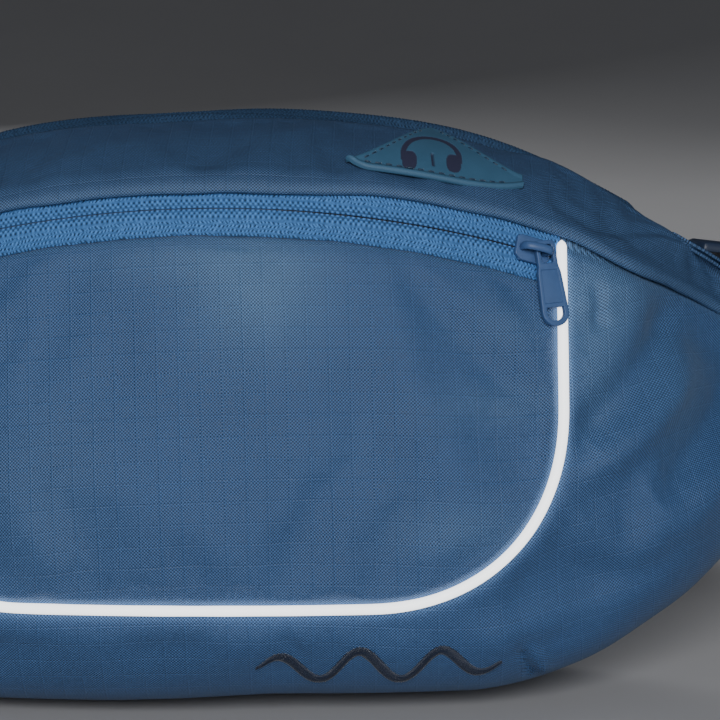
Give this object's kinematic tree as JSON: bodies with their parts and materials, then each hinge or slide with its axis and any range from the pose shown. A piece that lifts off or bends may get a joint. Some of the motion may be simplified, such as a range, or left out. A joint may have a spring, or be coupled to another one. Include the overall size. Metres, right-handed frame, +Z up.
{
  "type": "hip bag",
  "caption": "Zipped hip bag with a curved front pocket, reflective piping, a headphone port, a top main zip and a waist belt with a side-release buckle.",
  "frame": {"origin": "centre of the flat underside, on the surface the bag stands on", "axes": "+Z up, +X along the belt towards the buckle end, the zipped front faces -Y"},
  "size_m": [0.4739, 0.2639, 0.1636],
  "materials": {
    "ripstop_blue": "light blue ripstop nylon, slight sheen",
    "ripstop_deep_blue": "darker blue ripstop nylon",
    "zip_tape_blue": "woven zip tape, bright blue",
    "zip_coil_blue": "nylon coil",
    "zip_pull_blue": "smooth blue lacquer",
    "port_rubber": "matt moulded rubber, teal blue",
    "reflective_tape": "silver reflective piping",
    "lining_grey": "plain woven lining",
    "foam_grey": "closed-cell foam pad",
    "spacer_mesh": "navy spacer mesh",
    "webbing_navy": "woven navy webbing",
    "buckle_navy": "moulded navy acetal"
  },
  "bodies": {
    "root": {"front_pocket_panel": "ripstop_blue", "wrap_panel": "ripstop_blue", "top_gusset": "ripstop_deep_blue", "back_panel": "ripstop_deep_blue", "back_foam_pad": "foam_grey", "back_mesh": "spacer_mesh", "pocket_divider": "lining_grey", "main_lining": "lining_grey", "reflective_piping": "reflective_tape", "headphone_port": "port_rubber", "front_zip_tape_upper": "zip_tape_blue", "front_zip_tape_lower": "zip_tape_blue", "front_zip_coil_upper": "zip_coil_blue", "front_zip_coil_lower": "zip_coil_blue", "front_zip_stop_left": "zip_coil_blue", "front_zip_stop_right": "zip_coil_blue", "main_zip_tape_front": "zip_tape_blue", "main_zip_tape_back": "zip_tape_blue", "main_zip_coil_front": "zip_coil_blue", "main_zip_coil_back": "zip_coil_blue", "main_zip_stop_left": "zip_coil_blue", "main_zip_stop_right": "zip_coil_blue", "belt_webbing": "webbing_navy", "belt_tab": "webbing_navy", "buckle_female": "buckle_navy"},
    "front_slider": {"front_slider": "zip_pull_blue"},
    "front_pull": {"front_pull": "zip_pull_blue"},
    "main_slider": {"main_slider": "zip_pull_blue"},
    "main_pull": {"main_pull": "zip_pull_blue"},
    "buckle_male": {"buckle_male": "buckle_navy"},
    "prong_upper": {"buckle_prong_upper": "buckle_navy"},
    "prong_lower": {"buckle_prong_lower": "buckle_navy"},
    "strap_keeper": {"strap_keeper": "webbing_navy"}
  },
  "joints": [
    {"name": "front_slider_travel", "type": "hinge", "parent": "root", "child": "front_slider", "pos_m": [0, 0.12087, -0.01689], "axis": [0, 0.7431, 0.6691], "range_deg": [-45.7, 0]},
    {"name": "front_pull_swing", "type": "hinge", "parent": "front_slider", "child": "front_pull", "pos_m": [0.08603, -0.01354, 0.12652], "axis": [0.3468, -0.8866, 0.3061], "range_deg": [-48, 50]},
    {"name": "main_slider_travel", "type": "hinge", "parent": "root", "child": "main_slider", "pos_m": [0, 0.028, -0.088], "axis": [0, 1, 0], "range_deg": [0, 51.5]},
    {"name": "main_pull_flip", "type": "hinge", "parent": "main_slider", "child": "main_pull", "pos_m": [-0.11058, 0.028, 0.13955], "axis": [0, 1, 0], "range_deg": [0, 170]},
    {"name": "buckle_release", "type": "slide", "parent": "root", "child": "buckle_male", "axis": [0.8975, 0.4185, -0.1392], "range_m": [0, 0.03], "deforming": ["belt_webbing", "buckle_prong_upper", "buckle_prong_lower"]},
    {"name": "prong_upper_squeeze", "type": "hinge", "parent": "buckle_male", "child": "prong_upper", "pos_m": [0.17321, 0.06652, 0.10733], "axis": [0.4226, -0.9063, 0], "range_deg": [0, 9], "stiffness_Nm_per_rad": 1.2},
    {"name": "prong_lower_squeeze", "type": "hinge", "parent": "buckle_male", "child": "prong_lower", "pos_m": [0.17, 0.06502, 0.08218], "axis": [-0.4226, 0.9063, 0], "range_deg": [0, 9], "stiffness_Nm_per_rad": 1.2},
    {"name": "keeper_slide", "type": "slide", "parent": "buckle_male", "child": "strap_keeper", "axis": [0.8975, 0.4185, -0.1392], "range_m": [-0.008, 0.006]}
  ]
}
